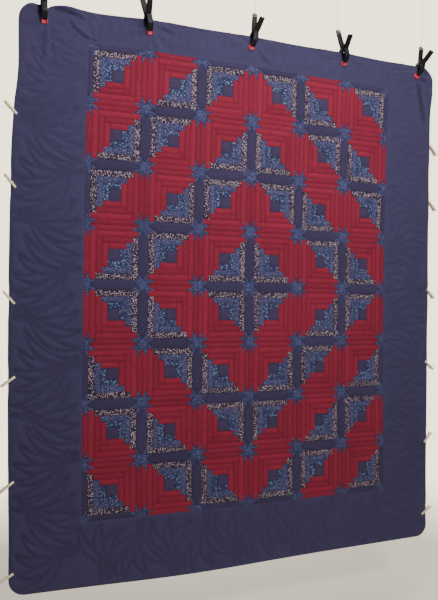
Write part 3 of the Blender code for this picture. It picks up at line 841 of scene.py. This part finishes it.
def moulded(node, name, place, slot, radius, segments=3, slim=1.0, tip=1.0, upright=True):
    """A copy of a plain CAD node with its edges rounded; the node is hidden.

    slim narrows it across, and tip shortens what is beyond TIP_BELOW under the place's origin.
    An upright one has its own axes along the world's, and any other has the place's."""
    source = frame["nodes"][node]
    mesh = source.data.copy()
    mesh.name = name
    mesh.transform(place.inverted() @ source.matrix_world)
    for vertex in mesh.vertices:
        vertex.co.x *= slim
        if vertex.co.z < -TIP_BELOW:
            vertex.co.z = -TIP_BELOW + (vertex.co.z + TIP_BELOW) * tip
    edit = bmesh.new()
    edit.from_mesh(mesh)
    bmesh.ops.remove_doubles(edit, verts=edit.verts, dist=1e-6)
    bmesh.ops.dissolve_limit(edit, angle_limit=math.radians(1.0), verts=edit.verts, edges=edit.edges)
    edit.to_mesh(mesh)
    edit.free()
    if upright:
        mesh.transform(place)
    mesh.materials.clear()
    mesh.materials.append(HARDWARE[slot])
    piece = linked(name, mesh)
    if not upright:
        piece.matrix_world = place
    round_edges(piece, radius, segments)
    mesh.shade_smooth()
    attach(piece, BODY_OF[node])
    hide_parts(node)


def tube(name, points, radius, slot, body="root", place=None, closed=False):
    """A round wire or string through points, in the world or in a given frame."""
    drawing = bpy.data.curves.new(name, "CURVE")
    drawing.dimensions = "3D"
    drawing.bevel_depth = radius
    drawing.bevel_resolution = 3
    drawing.use_fill_caps = True
    spline = drawing.splines.new("POLY")
    spline.points.add(len(points) - 1)
    for point, where in zip(spline.points, points):
        where = place @ Vector(where) if place is not None else where
        point.co = (*where, 1.0)
    spline.use_cyclic_u = closed
    drawing.materials.append(HARDWARE[slot])
    piece = linked(name, drawing)
    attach(piece, body)
    return piece


def knot(name, where, size, radius):
    """A trefoil of cord: a drawn-up overhand knot about a place."""
    points = []
    for turn in turns(36):
        bend = Vector((
            math.sin(turn) + 2 * math.sin(2 * turn), math.sin(3 * turn),
            math.cos(turn) - 2 * math.cos(2 * turn),
        ))
        points.append(where + bend * (size * 0.33))
    return tube(name, points, radius, "cotton_cord", closed=True)


# ---- Clamps ----
BACK = Vector((0.0, 1.0, 0.0))
TILT, SPREAD = math.radians(18.0), math.radians(38.0)  # the jaws' lean, and each handle's from upright
REAR_HANDLE, FRONT_HANDLE = 0.116, 0.086  # from the pin to the end
HANDLE_END, LEVER_WIDTH = 0.0055, 0.025  # half the handle's depth at its end, and the levers' width
GAP = 0.0003  # between pieces that touch
CHEEK_ROUND, CHEEK_FOOT, CHEEK_THICKNESS = 0.0115, 0.0085, 0.0020
SPRING_WIRE = 0.0009
SPRING_LEG = ((0.0, 0.0), (0.016, 0.0), (0.034, 0.0018), (0.046, 0.0030))  # along the handle, and out to it
RIBS, RIB_STEP, RIB_FROM_END, RIB_REACH, RIB_RADIUS = 4, 0.009, 0.012, 0.0105, 0.0009
CORD_RADIUS, CORD_STRAIGHT, CORD_SPANS = 0.001, 0.008, 7
WRAP_RADIUS, WRAP_SLANT = 0.8 * CORD_RADIUS, 0.0045
WRAPS = (0.0120, 0.0210)  # each turn of cord, down from the handle's end


def clamp_frame(number):
    """The clamp's pin, with X across, Y back and Z up in the clamp's own leaning plane."""
    joint = JOINTS[f"clamp_{number}_squeeze"]
    across = -Vector(joint["axis"]).normalized()
    return placed(across, BACK, across.cross(BACK), Vector(joint["pos_m"]))


def handle_ways(side):
    """The ways along a handle and out from it; side is 1 for the rear handle and -1 for the front one."""
    along = Vector((0.0, side * math.sin(SPREAD), math.cos(SPREAD)))
    return along, Vector((0.0, side * math.cos(SPREAD), -math.sin(SPREAD)))


def add_cheek(name, side, place):
    """A thin rounded plate beside the levers, round the pin and down towards the cloth."""
    outline = []
    for turn in turns(32):
        low = math.cos(turn) < 0
        radius = CHEEK_FOOT if low else CHEEK_ROUND
        outline.append((radius * math.sin(turn), radius * math.cos(turn) - (CHEEK_ROUND if low else 0.0)))
    faces_x = [side * (LEVER_WIDTH / 2 + out) for out in (GAP, GAP + CHEEK_THICKNESS)]
    vertices = [(x, y, z) for x in faces_x for y, z in outline]
    count = len(outline)
    faces = [tuple(range(count)), tuple(reversed(range(count, 2 * count)))]
    faces += [(k, k + count, (k + 1) % count + count, (k + 1) % count) for k in range(count)]
    mesh = bpy.data.meshes.new(name)
    mesh.from_pydata(vertices, [], faces)
    edit = bmesh.new()
    edit.from_mesh(mesh)
    bmesh.ops.recalc_face_normals(edit, faces=edit.faces)
    edit.to_mesh(mesh)
    edit.free()
    mesh.materials.append(HARDWARE["black_nylon"])
    mesh.transform(place)
    plate = linked(name, mesh)
    round_edges(plate, 0.0006, 2)
    mesh.shade_smooth()
    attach(plate, "root")


def add_clamp(number):
    name = f"clamp_{number}"
    tipped = clamp_frame(number) @ Matrix.Rotation(TILT, 4, "X")
    for lever in ("rear_lever", "front_lever"):
        moulded(f"{name}_{lever}", f"{name}_{lever}_moulding", tipped, "black_nylon", 0.0012, tip=0.80)
    for pad in ("rear_pad", "front_pad"):
        moulded(f"{name}_{pad}", f"{name}_{pad}_moulding", tipped, "red_rubber", 0.0016, slim=0.82)
    for word, side in (("left", -1), ("right", 1)):
        add_cheek(f"{name}_{word}_cheek", side, tipped)
    pin = frame["nodes"][f"{name}_pin_and_spring"].data
    pin.materials.clear()
    pin.materials.append(HARDWARE["spring_steel"])
    handles = (("rear", 1, "root", REAR_HANDLE), ("front", -1, f"{name}_front_lever", FRONT_HANDLE))
    # The spring's two legs lie along the inner sides of the handles
    for word, side, body, _ in handles:
        aim, outward = handle_ways(side)
        start = Vector((side * 0.0050, 0.0, 0.0)) - outward * 0.0070
        leg = [start + aim * along + outward * out for along, out in SPRING_LEG]
        tube(f"{name}_spring_{word}_leg", leg, SPRING_WIRE, "spring_steel", body, tipped)
    # Ribs lie across the end of each handle's outer side, for the fingers
    for word, side, body, length in handles:
        aim, outward = handle_ways(side)
        for rib in range(RIBS):
            middle = aim * (length - RIB_FROM_END - RIB_STEP * rib) + outward * HANDLE_END
            ends = [middle + Vector((x, 0.0, 0.0)) for x in (-RIB_REACH, RIB_REACH)]
            tube(f"{name}_{word}_rib_{rib + 1}", ends, RIB_RADIUS, "black_nylon", body, tipped)


def add_hanging_cord(number):
    """A cord tied round the end of the rear handle with two turns and a knot, going straight up from it."""
    name = f"hanging_cord_{number}"
    upright = clamp_frame(number)
    tipped = upright @ Matrix.Rotation(TILT, 4, "X")
    aim, outward = handle_ways(1)
    end = Matrix.Rotation(TILT, 3, "X") @ (aim * (REAR_HANDLE - HANDLE_END))
    foot = upright @ (end + Vector((0.0, 0.0, HANDLE_END + GAP)))
    knee = upright @ (end + Vector((0.0, 0.0, HANDLE_END + GAP + CORD_STRAIGHT)))
    top = Vector((knee.x, knee.y, 0.0))
    route = [foot] + [knee.lerp(top, k / CORD_SPANS) for k in range(CORD_SPANS + 1)]
    cord = tube(name + "_line", route, CORD_RADIUS, "cotton_cord")
    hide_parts(name)
    half_width, half_depth = LEVER_WIDTH / 2 + CORD_RADIUS, HANDLE_END + WRAP_RADIUS
    for wrap, down in enumerate(WRAPS):
        ring = []
        for angle in turns(24):
            # A squarish ring, which slants along the handle
            c, s = math.cos(angle), math.sin(angle)
            ring.append(
                aim * (REAR_HANDLE - down + WRAP_SLANT * c)
                + Vector((math.copysign(abs(c) ** 0.4, c) * half_width, 0.0, 0.0))
                + outward * (math.copysign(abs(s) ** 0.4, s) * half_depth)
            )
        tube(f"{name}_wrap_{wrap + 1}", ring, WRAP_RADIUS, "cotton_cord", "root", tipped, True)
    for word, where, size in (("lower", foot + Vector((0.0, 0.0, 0.004)), 0.0042), ("upper", top, 0.0044)):
        knot(f"{name}_{word}_knot", where, size, CORD_RADIUS)


# ---- Pegs and their strings ----
PEG_COIL, PEG_WIRE, PEG_HALF_WIDTH = 0.0042, 0.0006, 0.005
PEG_FACE = 0.0098  # from the pin out to the wire on a leg's outer face
COIL_TURNS, COIL_STEPS = 3, 14
STRING_RADIUS = 0.0008
STRING_LOOP = PEG_COIL + 2 * PEG_WIRE + STRING_RADIUS  # round the coil
STRING_REACH = {"left": 0.088, "right": 0.105}  # the strings' lengths, from the pegs out to their knots


def peg_frame(name):
    """The peg's coil, with X from jaw to tail, Y back and Z along the coil."""
    joint = JOINTS[f"{name}_squeeze"]
    coil = Vector(joint["axis"]).normalized()
    return placed(BACK.cross(coil), BACK, coil, Vector(joint["pos_m"]))


def add_peg(name):
    place = peg_frame(name)
    for leg in ("front_leg", "rear_leg"):
        moulded(f"{name}_{leg}", f"{name}_{leg}_wood", place, "pine", 0.0007, 2, upright=False)
    coil = []
    for k in range(COIL_TURNS * COIL_STEPS + 1):
        angle = 2 * math.pi * k / COIL_STEPS
        coil.append((
            (PEG_COIL + PEG_WIRE) * math.cos(angle), (PEG_COIL + PEG_WIRE) * math.sin(angle),
            (k / (COIL_TURNS * COIL_STEPS) - 0.5) * 2 * (PEG_HALF_WIDTH - PEG_WIRE),
        ))
    tube(f"{name}_coil", coil, PEG_WIRE, "spring_steel", "root", place)
    # The wire's ends reach over the outer face of each leg and down into its groove
    for word, side, body in (("front", -1, f"{name}_front_leg"), ("rear", 1, "root")):
        outer, beside = side * PEG_FACE, side * (PEG_HALF_WIDTH + PEG_WIRE)
        arm = [
            (0.0, side * 0.0044, beside),
            (-0.006, side * 0.0075, beside),
            (-0.0125, outer, beside),
            (-0.0135, outer + side * 0.0004, side * PEG_HALF_WIDTH),
            (-0.0138, outer + side * 0.0004, -side * PEG_HALF_WIDTH * 0.9),
        ]
        tube(f"{name}_{word}_wire", arm, PEG_WIRE, "spring_steel", body, place)


def add_string(name):
    """A string tied round the peg's coil and pulled straight out to the side."""
    outwards = inwards(name, -1.0)
    place = peg_frame(name)
    start = place.translation + Vector((outwards * STRING_LOOP, 0.0, 0.0))
    reach = STRING_REACH["left" if "left" in name else "right"]
    # Each string sags or climbs a little, as much as its peg's number says
    fall = 0.006 * math.sin(2.4 * int(name[-1]) + outwards)
    route = []
    for k in range(9):
        t = k / 8
        along = Vector((outwards * reach * t, 0.004 * t, fall * t - 0.0016 * math.sin(math.pi * t)))
        route.append(start + along)
    line = tube(f"{name}_string", route, STRING_RADIUS, "cotton_cord")
    loop = [(STRING_LOOP * math.cos(angle), STRING_LOOP * math.sin(angle), 0.0) for angle in turns(20)]
    extras = [tube(f"{name}_string_loop", loop, STRING_RADIUS, "cotton_cord", "root", place, True)]
    near = start + Vector((outwards * 0.0020, 0.0, 0.0))
    for word, where, size in (("inner", near, 0.0016), ("outer", route[-1], 0.0030)):
        extras.append(knot(f"{name}_{word}_knot", where, size, STRING_RADIUS))


def add_hardware():
    for number in range(1, 6):
        add_hanging_cord(number)
    for name in PEG_NAMES:
        add_string(name)
    for name in PEG_NAMES:
        add_peg(name)
    for number in range(1, 6):
        add_clamp(number)


# ---- Stage, light and camera ----
def add_stage():
    """A round pale floor that fades out towards its rim, and the room's even light."""
    bpy.ops.mesh.primitive_circle_add(
        vertices=96, radius=FLOOR_RADIUS, fill_type="NGON", location=(0.0, 0.0, EDGE_LOW.z - 0.42)
    )
    floor = bpy.context.object
    floor.name = "stage_floor"
    n = Nodes("pale_floor")
    n.finish((0.82, 0.77, 0.66), 0.9)
    length = n.add("ShaderNodeVectorMath", operation="LENGTH")
    n.feed(length.inputs[0], n.place)
    fade = n.ranged(length.outputs["Value"], FLOOR_RADIUS * 0.55, FLOOR_RADIUS * 0.97)
    clear = n.add("ShaderNodeBsdfTransparent")
    joined = n.add("ShaderNodeMixShader")
    n.feed(joined.inputs[0], fade)
    n.feed(joined.inputs[1], n.shader.outputs[0])
    n.feed(joined.inputs[2], clear.outputs[0])
    n.feed(n.tree.nodes["Material Output"].inputs["Surface"], joined.outputs[0])
    floor.data.materials.append(n.material)
    world = bpy.data.worlds.new("soft_room")
    bpy.context.scene.world = world
    world.use_nodes = True
    tree = world.node_tree
    seen = tree.nodes["Background"]
    seen.inputs["Color"].default_value = (1.0, 0.91, 0.68, 1.0)
    seen.inputs["Strength"].default_value = 3.0
    lighting = tree.nodes.new("ShaderNodeBackground")
    lighting.inputs["Color"].default_value = (1.0, 0.97, 0.93, 1.0)
    lighting.inputs["Strength"].default_value = 0.10
    path = tree.nodes.new("ShaderNodeLightPath")
    choice = tree.nodes.new("ShaderNodeMixShader")
    tree.links.new(path.outputs["Is Camera Ray"], choice.inputs[0])
    tree.links.new(lighting.outputs[0], choice.inputs[1])
    tree.links.new(seen.outputs[0], choice.inputs[2])
    tree.links.new(choice.outputs[0], tree.nodes["World Output"].inputs[0])


def add_sun():
    """Even light from almost straight above: it brings out the quilting and lights the floor."""
    lamp = bpy.data.lights.new("overhead_light", "SUN")
    lamp.energy = 0.6
    lamp.angle = 0.35
    lamp.color = (1.0, 0.97, 0.92)
    linked("overhead_light", lamp).rotation_euler = (math.radians(8.0), 0.0, 0.0)


def add_light(name, location, target, size, power, colour):
    lamp = bpy.data.lights.new(name, "AREA")
    lamp.shape = "RECTANGLE"
    lamp.size, lamp.size_y = size
    lamp.energy = power
    lamp.color = colour
    holder = linked(name, lamp)
    holder.location = location
    holder.rotation_euler = (Vector(target) - Vector(location)).to_track_quat("-Z", "Y").to_euler()
    holder.visible_camera = False


def add_camera():
    """Looks along +Y and to the right, from in front of the quilt's left side."""
    yaw, pitch, roll = (math.radians(a) for a in (22.1, -0.76, 0.87))
    forward = Vector((math.sin(yaw) * math.cos(pitch), math.cos(yaw) * math.cos(pitch), math.sin(pitch)))
    level = Vector((math.cos(yaw), -math.sin(yaw), 0.0))
    upright = level.cross(forward)
    right = level * math.cos(roll) + upright * math.sin(roll)
    up = upright * math.cos(roll) - level * math.sin(roll)
    lens = bpy.data.cameras.new("camera")
    lens.lens = 38.18
    lens.sensor_width = 36.0
    lens.clip_end = 100.0
    camera = linked("camera", lens)
    middle = Vector((PANEL_MIDDLE.x, MIDDLE_Y, PANEL_MIDDLE.z))
    camera.matrix_world = placed(right, up, -forward, middle + CAMERA_FROM_MIDDLE)
    bpy.context.scene.camera = camera


add_camera()
add_stage()
add_light("key_light", (0.05, -3.2, -0.50), (0.05, 0.0, -0.50), (0.7, 0.5), 105.0, (1.0, 0.98, 0.99))
add_light("upper_light", (0.10, -1.5, 1.0), (0.05, 0.0, -1.3), (1.6, 0.4), 33.0, (1.0, 0.98, 0.97))
add_sun()
add_light("back_light", (0.8, 3.4, 0.4), (0.0, 0.0, -1.5), (1.0, 1.0), 240.0, (1.0, 0.97, 0.93))
add_hardware()
add_quilt()
